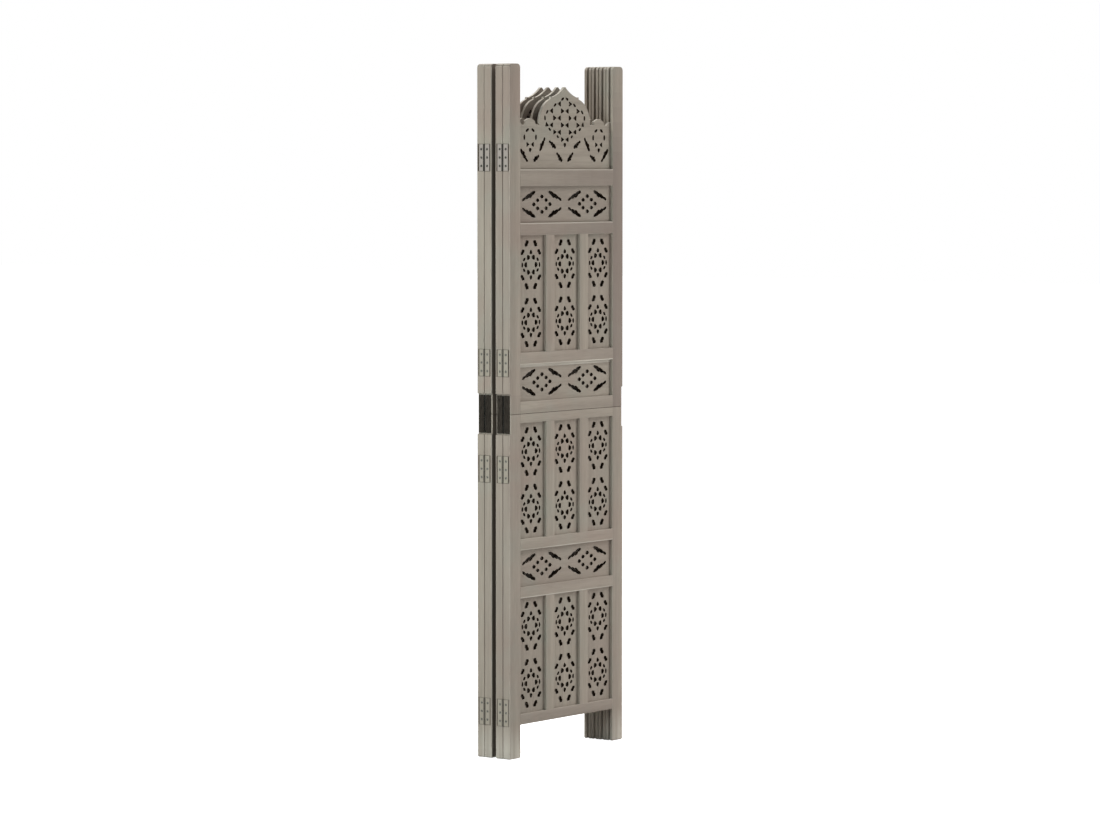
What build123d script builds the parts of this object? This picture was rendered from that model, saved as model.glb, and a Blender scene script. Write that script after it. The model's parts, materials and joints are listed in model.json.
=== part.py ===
from build123d import *
import math
import os

# A folding screen of four hinged panels. Each panel is an upper and a lower frame, one on
# the other, and each frame holds thin pierced boards in grooves. X runs across a panel, Y
# from its front face to its back, Z up. Every piece is first made in its panel's own frame,
# whose zero is the front left corner at the floor.

# ---- Driving dimensions, in millimetres and degrees ----
PANEL_COUNT = 4
PANEL_WIDTH = 508.0
LOWER_HEIGHT = 910.0
UPPER_HEIGHT = 919.0
FRAME_THICKNESS = 23.0
STILE_WIDTH = 46.0
STILE_TOP_RADIUS = 11.0
MULLION_WIDTH = 36.0
COLUMN_COUNT = 3

FOOT_HEIGHT = 88.0
LOWER_RAILS = (28.0, 30.0, 30.0, 24.0)  # from the foot up to the seam
UPPER_RAILS = (32.0, 32.0, 32.0, 44.0)  # from the seam up to the crown
FRIEZE_HEIGHT = 97.0
CROWN_SPACE = 276.0  # from the top rail to the top of the stiles

BOARD_THICKNESS = 7.0
GROOVE_DEPTH = 9.0
BOARD_END_GAP = 1.0  # a board stops short of its groove's bottom, to swell and shrink

FOLD_GAP = 1.0  # between two panels that are folded flat together
SPLAY = 1.5  # how far the rear pair of panels stands open from the front pair

HINGE_ABOVE_FLOOR = 123.0  # to the middle of the lowest hinge
HINGE_BELOW_SEAM = 145.0
HINGE_ABOVE_SEAM = 135.0
HINGE_BELOW_TOP = 245.5
HINGE_LENGTH = 70.0
LEAF_WIDTH = 16.5
LEAF_THICKNESS = 2.0
BARREL_RADIUS = 2.6
BARREL_SIDES = 10  # the rolled barrel is drawn with flats, as there are many of them
BARREL_STANDOFF = 1.0  # from the edge of the stile out to the pin's axis
PIN_CLEARANCE = 0.1
LEAF_END_CLEARANCE = 0.5
LEAF_SIDE_CLEARANCE = 3.0

PLATE_LENGTH = 100.0
PLATE_WIDTH = 18.0
PLATE_THICKNESS = 3.0
PLATE_SLOT_DEPTH = 4.5
PLATE_END_CLEARANCE = 3.5

# Piercings of the boards
ROSETTE_PITCH = 152.0  # between the two flowers of a column board
PETAL_RING_RADIUS = 22.5
PETAL_COUNT = 6
PETAL_RADIUS = 6.5  # from a petal hole's middle to its points
MOTIF_PITCH = 204.0  # between the two diamonds of a frieze
MOTIF_LEAF_LENGTH = 68.0
MOTIF_LEAF_WIDTH = 10.0
MOTIF_LEAF_REACH = (58.0, 22.0)  # from a diamond's middle to a leaf's middle
MOTIF_LEAF_SLOPE = 21.0

# Outline of the crown board: distance from its middle, height above the top rail
CROWN_TIP = (0.0, 218.0)
CROWN_OGEE = (27.0, 199.0)
CROWN_SHOULDER = (62.0, 192.0)
CROWN_STEP = (63.0, 185.5)
CROWN_DOME = (97.0, 165.0)
CROWN_DOME_FOOT = (114.5, 128.0)
CROWN_LEDGE = (114.5, 118.0)
LOBE_START = (124.0, 118.0)
LOBE_TOP = (154.0, 134.0)
LOBE_END = (185.0, 119.5)
SCROLL_MIDDLE = (197.0, 125.0)
SCROLL_END_HEIGHT = 127.0

# Crown piercings: a lattice of touching circles, and pairs of leaves below it
LATTICE_MIDDLE_HEIGHT = 135.5
LATTICE_STEP = (35.0, 18.75)  # from one circle to the next, across and up
CROWN_LEAF_WIDTH = 10.0
CROWN_LEAVES = (  # each from its lower end to its upper end, mirrored about the middle
    ((12.5, 21.0), (37.0, 43.0)),
    ((40.5, 56.5), (70.0, 74.0)),
    ((89.0, 83.0), (111.5, 48.5)),
    ((115.0, 36.5), (138.5, 21.5)),
    ((165.5, 20.0), (197.0, 53.0)),
)

# ---- Derived dimensions ----
PANEL_HEIGHT = LOWER_HEIGHT + UPPER_HEIGHT
INNER_WIDTH = PANEL_WIDTH - 2 * STILE_WIDTH
COLUMN_WIDTH = (INNER_WIDTH - (COLUMN_COUNT - 1) * MULLION_WIDTH) / COLUMN_COUNT
COLUMN_PITCH = COLUMN_WIDTH + MULLION_WIDTH
BOARD_DEPTH = (FRAME_THICKNESS - BOARD_THICKNESS) / 2  # from either face to a board
BOARD_TONGUE = GROOVE_DEPTH - BOARD_END_GAP
LOWER_COLUMN_HEIGHT = (LOWER_HEIGHT - FOOT_HEIGHT - sum(LOWER_RAILS) - FRIEZE_HEIGHT) / 2
UPPER_COLUMN_HEIGHT = UPPER_HEIGHT - sum(UPPER_RAILS) - 2 * FRIEZE_HEIGHT - CROWN_SPACE
PANEL_STEP = FRAME_THICKNESS + FOLD_GAP
HINGE_HEIGHTS = (
    HINGE_ABOVE_FLOOR,
    LOWER_HEIGHT - HINGE_BELOW_SEAM,
    LOWER_HEIGHT + HINGE_ABOVE_SEAM,
    PANEL_HEIGHT - HINGE_BELOW_TOP,
)
CUT_PAST = 1.0  # how far a cutting block runs past the face it cuts


def stack(start, rails, openings):
    """Bottom and top of every rail and of every opening between them, going up."""
    rail_spans, opening_spans = [], []
    level = start
    for rail, opening in zip(rails, openings + (0.0,)):
        rail_spans.append((level, level + rail))
        opening_spans.append((level + rail, level + rail + opening))
        level += rail + opening
    return rail_spans, opening_spans[:-1]


LOWER_RAIL_SPANS, LOWER_OPENINGS = stack(
    FOOT_HEIGHT, LOWER_RAILS, (LOWER_COLUMN_HEIGHT, FRIEZE_HEIGHT, LOWER_COLUMN_HEIGHT)
)
UPPER_RAIL_SPANS, UPPER_OPENINGS = stack(
    LOWER_HEIGHT, UPPER_RAILS, (FRIEZE_HEIGHT, UPPER_COLUMN_HEIGHT, FRIEZE_HEIGHT)
)
COLUMN_SPANS = [LOWER_OPENINGS[0], LOWER_OPENINGS[2], UPPER_OPENINGS[1]]
FRIEZE_SPANS = [LOWER_OPENINGS[1], UPPER_OPENINGS[0], UPPER_OPENINGS[2]]
CROWN_BASE = UPPER_RAIL_SPANS[-1][1]
COLUMN_MIDDLES = [
    STILE_WIDTH + COLUMN_WIDTH / 2 + n * COLUMN_PITCH for n in range(COLUMN_COUNT)
]
MULLION_MIDDLES = [
    STILE_WIDTH + COLUMN_WIDTH + MULLION_WIDTH / 2 + n * COLUMN_PITCH
    for n in range(COLUMN_COUNT - 1)
]


def block(x, y, z):
    """A box from the lowest to the highest value of each axis."""
    corner = Location((x[0], y[0], z[0]))
    size = (x[1] - x[0], y[1] - y[0], z[1] - z[0])
    return corner * Box(*size, align=(Align.MIN, Align.MIN, Align.MIN))


def upright(profile, bottom, top):
    """A plan profile extruded upwards."""
    return Pos(0, 0, bottom) * extrude(profile, top - bottom, dir=(0, 0, 1))


def board(outline, holes):
    """A front view outline, less its holes, made into a board set back in the frame."""
    standing = Plane.XZ * (outline - holes)
    return Pos(0, BOARD_DEPTH, 0) * extrude(standing, BOARD_THICKNESS, dir=(0, 1, 0))


# ---- Frame ----
def leaf_recesses(edge, front):
    """Where hinge leaves are let into a stile whose outer edge is at x = edge."""
    inward = 1 if edge == 0 else -1
    x = sorted((edge - inward * CUT_PAST, edge + inward * LEAF_THICKNESS))
    width = LEAF_WIDTH + LEAF_SIDE_CLEARANCE
    y = (-CUT_PAST, width) if front else (FRAME_THICKNESS - width, FRAME_THICKNESS + CUT_PAST)
    half = HINGE_LENGTH / 2 + LEAF_END_CLEARANCE
    return [block(x, y, (z - half, z + half)) for z in HINGE_HEIGHTS]


def plate_slot(edge):
    """The slot across a stile's outer edge that takes its joining plate."""
    inward = 1 if edge == 0 else -1
    x = sorted((edge - inward * CUT_PAST, edge + inward * PLATE_SLOT_DEPTH))
    half = PLATE_LENGTH / 2 + PLATE_END_CLEARANCE
    y = (-CUT_PAST, FRAME_THICKNESS + CUT_PAST)
    return block(x, y, (LOWER_HEIGHT - half, LOWER_HEIGHT + half))


def stile(edge, bottom, top, rounded, recesses):
    """An upright of the frame, grooved along its inner edge for the boards."""
    inward = 1 if edge == 0 else -1
    inner = edge + inward * STILE_WIDTH
    body = block(sorted((edge, inner)), (0, FRAME_THICKNESS), (bottom, top))
    if rounded:
        tips = body.edges().filter_by(Axis.Y).group_by(Axis.Z)[-1]
        body = fillet(tips, STILE_TOP_RADIUS)
    groove = block(
        sorted((inner - inward * GROOVE_DEPTH, inner + inward * CUT_PAST)),
        (BOARD_DEPTH, BOARD_DEPTH + BOARD_THICKNESS),
        (bottom - CUT_PAST, top + CUT_PAST),
    )
    for cut in [groove, plate_slot(edge)] + recesses:
        body = body - cut
    return body


def rail(span):
    """A cross rail, dowelled between the stiles."""
    return block((STILE_WIDTH, PANEL_WIDTH - STILE_WIDTH), (0, FRAME_THICKNESS), span)


def mullion(middle, span):
    """A short upright between two column boards, grooved along both edges."""
    half = MULLION_WIDTH / 2
    web = half - GROOVE_DEPTH
    back = BOARD_DEPTH + BOARD_THICKNESS
    profile = Pos(middle, FRAME_THICKNESS / 2) * Rectangle(MULLION_WIDTH, FRAME_THICKNESS)
    for side in (-1, 1):
        groove_middle = middle + side * (web + half) / 2
        profile -= Pos(groove_middle, (BOARD_DEPTH + back) / 2) * Rectangle(
            GROOVE_DEPTH, BOARD_THICKNESS
        )
    return upright(profile, *span)


# ---- Pierced boards ----
def slit(start, end, width):
    """A leaf shaped hole, which swells at its middle to the left as one goes to its end."""
    length = math.dist(start, end)
    turn = math.degrees(math.atan2(end[1] - start[1], end[0] - start[0]))
    middle = ((start[0] + end[0]) / 2, (start[1] + end[1]) / 2)
    points = [(-length / 2, -width / 3), (length / 2, -width / 3), (0, 2 * width / 3)]
    return Pos(*middle) * Rot(0, 0, turn) * Polygon(*points, align=None)


def petal_holes(middle, ring_radius):
    """Six three pointed holes around a flower, which leave its petals between them."""
    holes = []
    for n in range(PETAL_COUNT):
        turn = n * 360 / PETAL_COUNT
        place = Pos(*middle) * Rot(0, 0, turn) * Pos(ring_radius, 0)
        holes.append(place * RegularPolygon(PETAL_RADIUS, 3))
    return holes


def column_board(middle, span):
    """A board of two flowers, one above the other."""
    height = span[1] - span[0]
    centre = (middle, (span[0] + span[1]) / 2)
    outline = Pos(*centre) * Rectangle(COLUMN_WIDTH + 2 * BOARD_TONGUE, height)
    holes = []
    for side in (-1, 1):
        flower = (centre[0], centre[1] + side * ROSETTE_PITCH / 2)
        holes += petal_holes(flower, PETAL_RING_RADIUS)
    return board(outline, holes)


def frieze_board(span):
    """A low board with two diamonds, each of four long leaves."""
    centre = (PANEL_WIDTH / 2, (span[0] + span[1]) / 2)
    outline = Pos(*centre) * Rectangle(INNER_WIDTH + 2 * BOARD_TONGUE, span[1] - span[0])
    slope = math.radians(MOTIF_LEAF_SLOPE)
    run = MOTIF_LEAF_LENGTH / 2 * math.cos(slope)
    rise = MOTIF_LEAF_LENGTH / 2 * math.sin(slope)
    holes = []
    for motif in (-1, 1):
        motif_x = centre[0] + motif * MOTIF_PITCH / 2
        for across in (-1, 1):
            for up in (-1, 1):
                x = motif_x + across * MOTIF_LEAF_REACH[0]
                z = centre[1] + up * MOTIF_LEAF_REACH[1]
                inner = (x - across * run, z + up * rise)
                outer = (x + across * run, z - up * rise)
                start, end = (outer, inner) if across == up else (inner, outer)
                holes.append(slit(start, end, MOTIF_LEAF_WIDTH))
    return board(outline, holes)


def lattice_holes():
    """The three cornered gaps between touching circles in the middle of the crown."""
    across, up = LATTICE_STEP
    holes = []
    for column, row in ((1, 1), (1, -1), (-1, 1), (-1, -1)):
        holes.append((column * across / 3, row * up, 180 if column > 0 else 0))
    for column in (-1, 1):
        holes.append((column * across * 2 / 3, 0.0, 0 if column > 0 else 180))
        holes.append((column * across * 4 / 3, 0.0, 180 if column > 0 else 0))
    return [
        Pos(PANEL_WIDTH / 2 + x, CROWN_BASE + LATTICE_MIDDLE_HEIGHT + z)
        * Rot(0, 0, turn)
        * RegularPolygon(PETAL_RADIUS, 3)
        for x, z, turn in holes
    ]


def crown_outline():
    """An onion dome between two lobes, drawn for the right half and mirrored."""
    half = INNER_WIDTH / 2 + BOARD_TONGUE
    scroll_end = (INNER_WIDTH / 2, SCROLL_END_HEIGHT)
    edge = [
        ThreePointArc(CROWN_TIP, CROWN_OGEE, CROWN_SHOULDER),
        Line(CROWN_SHOULDER, CROWN_STEP),
        ThreePointArc(CROWN_STEP, CROWN_DOME, CROWN_DOME_FOOT),
        Polyline(CROWN_DOME_FOOT, CROWN_LEDGE, LOBE_START),
        ThreePointArc(LOBE_START, LOBE_TOP, LOBE_END),
        Polyline(LOBE_END, SCROLL_MIDDLE, scroll_end, (half, SCROLL_END_HEIGHT)),
        Polyline((half, SCROLL_END_HEIGHT), (half, 0), (0, 0), CROWN_TIP),
    ]
    right = make_face(Curve() + edge)
    whole = right + mirror(right, Plane.YZ)
    return Pos(PANEL_WIDTH / 2, CROWN_BASE) * whole


def crown_board():
    """The board that stands on the top rail, between the ends of the stiles."""
    holes = lattice_holes()
    for start, end in CROWN_LEAVES:
        for side in (-1, 1):
            ends = [
                (PANEL_WIDTH / 2 + side * x, CROWN_BASE + z) for x, z in (start, end)
            ]
            holes.append(slit(*ends[::side], CROWN_LEAF_WIDTH))
    return board(crown_outline(), holes)


# ---- Metalwork ----
def joining_plate(edge):
    """A flat plate across the seam that ties an upper stile to the lower one."""
    inward = 1 if edge == 0 else -1
    floor = edge + inward * PLATE_SLOT_DEPTH
    x = sorted((floor, floor - inward * PLATE_THICKNESS))
    middle = FRAME_THICKNESS / 2
    y = (middle - PLATE_WIDTH / 2, middle + PLATE_WIDTH / 2)
    half = PLATE_LENGTH / 2
    return block(x, y, (LOWER_HEIGHT - half, LOWER_HEIGHT + half))


def pin_place(edge, front):
    """Where the pin's axis crosses the floor, in the frame of a panel that it carries."""
    outward = -1 if edge == 0 else 1
    y = -FOLD_GAP / 2 if front else FRAME_THICKNESS + FOLD_GAP / 2
    return edge + outward * BARREL_STANDOFF, y


def hinge_leaves(edge, front):
    """The four leaves on one edge of a panel, flush with the wood."""
    inward = 1 if edge == 0 else -1
    x = sorted((edge, edge + inward * LEAF_THICKNESS))
    reach = math.sqrt(BARREL_RADIUS**2 - BARREL_STANDOFF**2) + PIN_CLEARANCE
    near = reach - FOLD_GAP / 2
    y = (near, LEAF_WIDTH) if front else (FRAME_THICKNESS - LEAF_WIDTH, FRAME_THICKNESS - near)
    half = HINGE_LENGTH / 2
    return [block(x, y, (z - half, z + half)) for z in HINGE_HEIGHTS]


def hinge_pins(edge, front):
    """The four barrels of one joint."""
    profile = Pos(*pin_place(edge, front)) * RegularPolygon(BARREL_RADIUS, BARREL_SIDES)
    half = HINGE_LENGTH / 2
    return [upright(profile, z - half, z + half) for z in HINGE_HEIGHTS]


# ---- Panels ----
def panel_joints(number):
    """The edges of a panel that carry hinges, each as its x and whether it is at the front.

    Panels 1 and 2 meet at the left edge, 2 and 3 at the right, 3 and 4 at the left."""
    joints = []
    if number > 1:
        joints.append((0.0 if number % 2 == 0 else PANEL_WIDTH, True))
    if number < PANEL_COUNT:
        joints.append((0.0 if number % 2 == 1 else PANEL_WIDTH, False))
    return joints


def panel_pieces(number):
    """Every piece of one panel, in the panel's own frame."""
    name = f"panel_{number}_"
    pieces = {}
    for side, edge in (("left", 0.0), ("right", PANEL_WIDTH)):
        recesses = []
        for joint_edge, front in panel_joints(number):
            if joint_edge == edge:
                recesses += leaf_recesses(edge, front)
        pieces[f"{name}lower_{side}_stile"] = [stile(edge, 0, LOWER_HEIGHT, False, recesses)]
        pieces[f"{name}upper_{side}_stile"] = [
            stile(edge, LOWER_HEIGHT, PANEL_HEIGHT, True, recesses)
        ]
    pieces[name + "lower_rails"] = [rail(span) for span in LOWER_RAIL_SPANS]
    pieces[name + "upper_rails"] = [rail(span) for span in UPPER_RAIL_SPANS]
    pieces[name + "mullions"] = [
        mullion(middle, span) for span in COLUMN_SPANS for middle in MULLION_MIDDLES
    ]
    pieces[name + "column_boards"] = [
        column_board(middle, span) for span in COLUMN_SPANS for middle in COLUMN_MIDDLES
    ]
    pieces[name + "frieze_boards"] = [frieze_board(span) for span in FRIEZE_SPANS]
    pieces[name + "crown_board"] = [crown_board()]
    pieces[name + "joining_plates"] = [joining_plate(0.0), joining_plate(PANEL_WIDTH)]
    return pieces


def panel_places():
    """How each panel stands when the screen is folded, with the rear pair splayed."""
    swing_x, swing_y = pin_place(PANEL_WIDTH, False)
    swing_y += PANEL_STEP
    swing = Pos(swing_x, swing_y) * Rot(0, 0, -SPLAY) * Pos(-swing_x, -swing_y)
    places = [Pos(0, n * PANEL_STEP) for n in range(PANEL_COUNT)]
    return [place if n < PANEL_COUNT / 2 else swing * place for n, place in enumerate(places)]


def whole_screen():
    """Every node's solids where they stand, and the foot of each pin's axis."""
    nodes, axes = {}, []
    for number, place in enumerate(panel_places(), start=1):
        for name, solids in panel_pieces(number).items():
            nodes[name] = [place * solid for solid in solids]
        for edge, front in panel_joints(number):
            joint = number - 1 if front else number
            half = "rear" if front else "front"
            leaves = hinge_leaves(edge, front)
            nodes[f"hinge_{joint}_{half}_leaves"] = [place * leaf for leaf in leaves]
            if not front:
                pins = hinge_pins(edge, front)
                nodes[f"hinge_{joint}_pins"] = [place * pin for pin in pins]
                axes.append(place * Pos(*pin_place(edge, front)))
    return nodes, axes


def main():
    os.makedirs("parts", exist_ok=True)
    nodes, axes = whole_screen()
    box = Compound([solid for solids in nodes.values() for solid in solids]).bounding_box()
    to_middle = Pos(-box.center().X, -box.center().Y, -box.min.Z)
    for name, solids in nodes.items():
        export_step(Compound([to_middle * solid for solid in solids]), f"parts/{name}.step")
    for joint, axis in enumerate(axes, start=1):
        foot = (to_middle * axis).position
        print(f"joint {joint}: axis at x {foot.X:.4f}, y {foot.Y:.4f}")
    print("size", box.size)


main()
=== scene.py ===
# %% [markdown]
# # A folding jali screen
# This notebook dresses a carved wooden screen that has already been measured and hinged. The
# measured model comes in as a fixed frame of plain solids. Each cell makes one kind of piece
# in Blender, lays it exactly over its solid and ties it to the panel that carries it.

# %% Load the measured screen
import json
import math

import bmesh
import bpy
from mathutils import Matrix, Vector


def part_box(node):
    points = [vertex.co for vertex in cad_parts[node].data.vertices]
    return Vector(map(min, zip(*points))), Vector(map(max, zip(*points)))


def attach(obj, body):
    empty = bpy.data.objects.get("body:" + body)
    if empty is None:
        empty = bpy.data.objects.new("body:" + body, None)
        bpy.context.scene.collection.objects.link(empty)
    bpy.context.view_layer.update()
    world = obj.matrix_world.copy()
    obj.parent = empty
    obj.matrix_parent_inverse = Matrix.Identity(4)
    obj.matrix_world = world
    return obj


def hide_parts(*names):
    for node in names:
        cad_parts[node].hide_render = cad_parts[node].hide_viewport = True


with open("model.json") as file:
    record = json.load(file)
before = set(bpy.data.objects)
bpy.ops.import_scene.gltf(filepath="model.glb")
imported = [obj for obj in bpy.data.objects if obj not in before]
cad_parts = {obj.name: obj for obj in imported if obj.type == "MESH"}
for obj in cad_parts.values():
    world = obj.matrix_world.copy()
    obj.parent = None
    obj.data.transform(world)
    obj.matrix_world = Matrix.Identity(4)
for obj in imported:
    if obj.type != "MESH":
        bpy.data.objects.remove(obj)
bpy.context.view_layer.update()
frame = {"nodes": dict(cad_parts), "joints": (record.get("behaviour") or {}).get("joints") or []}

# %% [markdown]
# The screen is long and thin, so it is looked at from far away through a long lens. That
# keeps its uprights upright. The camera stands to the left of the front panel, a little
# below the top of the screen, and looks at the folded edges and the front at once.

# %% Set up the camera
LENS_MM = 137.96
camera_data = bpy.data.cameras.new("long_lens")
camera_data.lens = LENS_MM
camera_data.sensor_width = 36.0
camera_data.clip_end = 100.0
camera = bpy.data.objects.new("camera", camera_data)
camera.location = (-9.0562, -6.6972, 1.5599)
camera.rotation_euler = (math.radians(90 - 3.332), 0.0, math.radians(36.496 - 90))
bpy.context.scene.collection.objects.link(camera)
bpy.context.scene.camera = camera
print("camera at", tuple(round(v, 2) for v in camera.location))

# %% [markdown]
# A joiner makes every panel on the same bench, and only then hinges them together. We do the
# same. Each panel gets a matrix that carries a piece from the bench, where its front left
# foot is at zero and lengths are in millimetres, to its place in the folded screen. Panels 3
# and 4 stand a little open on the middle joint, so their matrix also turns about that pin.

# %% Find where each panel stands
MM = 0.001
PANELS = (1, 2, 3, 4)
first_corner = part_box("panel_1_lower_left_stile")[0]
panel_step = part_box("panel_2_lower_left_stile")[0].y - first_corner.y
middle_fold = next(joint for joint in frame["joints"] if joint["name"] == "middle_fold")


def standing(panel):
    """The matrix from a panel's bench, in millimetres, to its place in the screen."""
    corner = first_corner + Vector((0, panel_step * (panel - 1), 0))
    place = Matrix.Translation(corner) @ Matrix.Scale(MM, 4)
    if panel > 2:
        pin = Matrix.Translation(middle_fold["pos_m"])
        open_by = math.radians(-middle_fold["range_deg"][0])
        place = pin @ Matrix.Rotation(open_by, 4, middle_fold["axis"]) @ pin.inverted() @ place
    return place


STANDING = {panel: standing(panel) for panel in PANELS}
print("panels stand", round(panel_step / MM, 2), "mm apart")

# %% [markdown]
# The measured solids come in as loose triangles. A copy taken back to the bench is welded and
# its flat faces are joined up again, which gives clean edges to work on. A node may hold
# several solids, such as nine boards, so a second helper finds each one's box. Those boxes
# are how every later piece knows its size and place without repeating a number.

# %% Take a piece down to the bench
def taken_down(node, panel):
    """A welded copy of a measured node on its panel's bench."""
    piece = bmesh.new()
    piece.from_mesh(frame["nodes"][node].data)
    piece.transform(STANDING[panel].inverted())
    bmesh.ops.remove_doubles(piece, verts=piece.verts, dist=0.01)
    bmesh.ops.dissolve_limit(
        piece, angle_limit=math.radians(1), verts=piece.verts, edges=piece.edges
    )
    return piece


def solids_of(piece):
    """The vertices of each separate solid, from the lowest and leftmost up."""
    waiting, solids = set(piece.verts), []
    while waiting:
        found = [waiting.pop()]
        for vert in found:
            for edge in vert.link_edges:
                other = edge.other_vert(vert)
                if other in waiting:
                    waiting.remove(other)
                    found.append(other)
        solids.append(found)
    return sorted(solids, key=lambda verts: tuple(round(v, 1) for v in box_of(verts)[0].zxy))


def box_of(verts):
    """The lowest and highest corner of some vertices."""
    low = Vector(min(v.co[axis] for v in verts) for axis in range(3))
    high = Vector(max(v.co[axis] for v in verts) for axis in range(3))
    return low, high


def boxes_of(node, panel):
    """The box of each solid of a measured node, on its panel's bench."""
    piece = taken_down(node, panel)
    boxes = [box_of(verts) for verts in solids_of(piece)]
    piece.free()
    return boxes


print("column boards on panel 1:", len(boxes_of("panel_1_column_boards", 1)))

# %% [markdown]
# When a piece is finished it leaves the bench: the matrix stands it in the screen, it is tied
# to the panel it rides on, the plain solids it replaces are hidden and it is given its finish.
# Broad faces stay flat and only soft edges are shaded smooth.

# %% Put a finished piece in the screen
def put_up(piece, name, panel, body, replaced, material):
    """Makes a bench piece an object of the screen and hides the plain solids it replaces."""
    piece.transform(STANDING[panel])
    mesh = bpy.data.meshes.new(name)
    piece.to_mesh(mesh)
    piece.free()
    mesh.shade_smooth()
    mesh.set_sharp_from_angle(angle=math.radians(32))
    mesh.materials.append(material)
    made = bpy.data.objects.new(name, mesh)
    bpy.context.scene.collection.objects.link(made)
    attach(made, body)
    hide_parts(*replaced)
    return made


# %% [markdown]
# Materials come before the pieces, so that each piece can be given its own. A small helper
# adds a node and fills in its sockets, by a link where the value is another node's output.

# %% Helpers for node trees
def add(tree, kind, inputs=None, **settings):
    """Adds a shader node, with its settings and its inputs filled in."""
    node = tree.nodes.new("ShaderNode" + kind)
    for name, value in settings.items():
        setattr(node, name, value)
    for name, value in (inputs or {}).items():
        if isinstance(value, bpy.types.NodeSocket):
            tree.links.new(value, node.inputs[name])
        else:
            node.inputs[name].default_value = value
    return node


def mixed(tree, share, first, second, how="MIX"):
    """Two colours mixed by a share that varies over the surface."""
    node = add(tree, "Mix", {0: share, 6: first, 7: second}, data_type="RGBA", blend_type=how)
    return node.outputs[2]


def stretched(tree, value, low, high, to_low=0.0, to_high=1.0):
    """A mask with the part between low and high spread out, and cut off outside it."""
    inputs = {"Value": value, "From Min": low, "From Max": high, "To Min": to_low, "To Max": to_high}
    return add(tree, "MapRange", inputs, clamp=True).outputs["Result"]


def maths(tree, how, first, second=0.0):
    """A sum, product or other result of two values."""
    return add(tree, "Math", {0: first, 1: second}, operation=how).outputs[0]


def painted(name, colour=(0.5, 0.5, 0.5, 1.0), roughness=0.8):
    """A new material with its node tree and its shader."""
    material = bpy.data.materials.new(name)
    material.use_nodes = True
    shader = material.node_tree.nodes["Principled BSDF"]
    shader.inputs["Base Color"].default_value = colour
    shader.inputs["Roughness"].default_value = roughness
    return material, material.node_tree, shader


# %% [markdown]
# The wood is mango, washed with a thin greige paint and wiped. What shows is grain: long soft
# streaks along each member, fine fibres inside them, and broad patches where the wash took
# warmer or cooler. All three are noise. The first two are squeezed along the grain, so the
# group takes coordinates that the material has already stretched. Three outputs leave the
# group as plain masks, and each material mixes its own colours from them.

# %% Build the grain group
def grain_group():
    """A node group that puts out streaks, fibres and patches as masks from 0 to 1."""
    tree = bpy.data.node_groups.new("wood_grain", "ShaderNodeTree")
    for name in ("Grain Place", "Plain Place"):
        tree.interface.new_socket(name=name, in_out="INPUT", socket_type="NodeSocketVector")
    for name in ("Streaks", "Fibres", "Patches", "Warmth"):
        tree.interface.new_socket(name=name, in_out="OUTPUT", socket_type="NodeSocketFloat")
    start = tree.nodes.new("NodeGroupInput")
    end = tree.nodes.new("NodeGroupOutput")
    along, plain = start.outputs["Grain Place"], start.outputs["Plain Place"]
    streaks = add(tree, "TexNoise", {"Vector": along, "Scale": 70.0, "Detail": 4.0})
    fibres = add(tree, "TexNoise", {"Vector": along, "Scale": 420.0, "Detail": 3.0})
    patches = add(tree, "TexNoise", {"Vector": plain, "Scale": 9.0, "Detail": 3.0})
    warmth = add(tree, "TexNoise", {"Vector": plain, "Scale": 4.3, "Detail": 2.0})
    for name, noise in zip(("Streaks", "Fibres", "Patches", "Warmth"), (streaks, fibres, patches, warmth)):
        mask = stretched(tree, noise.outputs[0], 0.32, 0.68)
        tree.links.new(mask, end.inputs[name])
    return tree


GRAIN = grain_group()
print("grain group gives", [socket.name for socket in GRAIN.interface.items_tree])

# %% [markdown]
# Every wooden member uses one recipe with the grain turned its own way. The recipe reads three
# marks that the pieces carry on their faces. "arris" makes a face paler: on the rounded edges
# that is the wash rubbed thin together with a painted highlight, and on the crown's outer walls,
# the tops of the upper stiles and a few bands on rails and boards it is painted highlight only.
# "cut" makes a face darker: on the walls of the carving that is the dark the saw left, and
# everywhere else it is painted shade, in recesses, fold gaps, slots, on the walls of the
# openings and on the crowns behind the first. "tone" deepens the colour of a piece or a face.

# %% Mix the washed wood
WASH_LIGHT = (0.312, 0.271, 0.221, 1.0)
WASH_DARK = (0.262, 0.226, 0.184, 1.0)
WASH_WARM = (0.276, 0.213, 0.175, 1.0)
WASH_DEEP = (0.196, 0.157, 0.134, 1.0)
WASH_COOL = (0.272, 0.262, 0.216, 1.0)
# The pale edge colour below serves for wear and for painted highlight, the sawn dark for the saw's dark and for
# painted shade, and the near black for painted shade only.
BARE_EDGE_AND_HIGHLIGHT = (0.520, 0.478, 0.410, 1.0)
SAWN_AND_SHADE_DARK = (0.030, 0.016, 0.007, 1.0)
SLOT_SHADE_BLACK = (0.004, 0.0035, 0.003, 1.0)
GRAIN_SQUEEZE = 0.05
SCUFF_HEIGHT = 0.09


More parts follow.
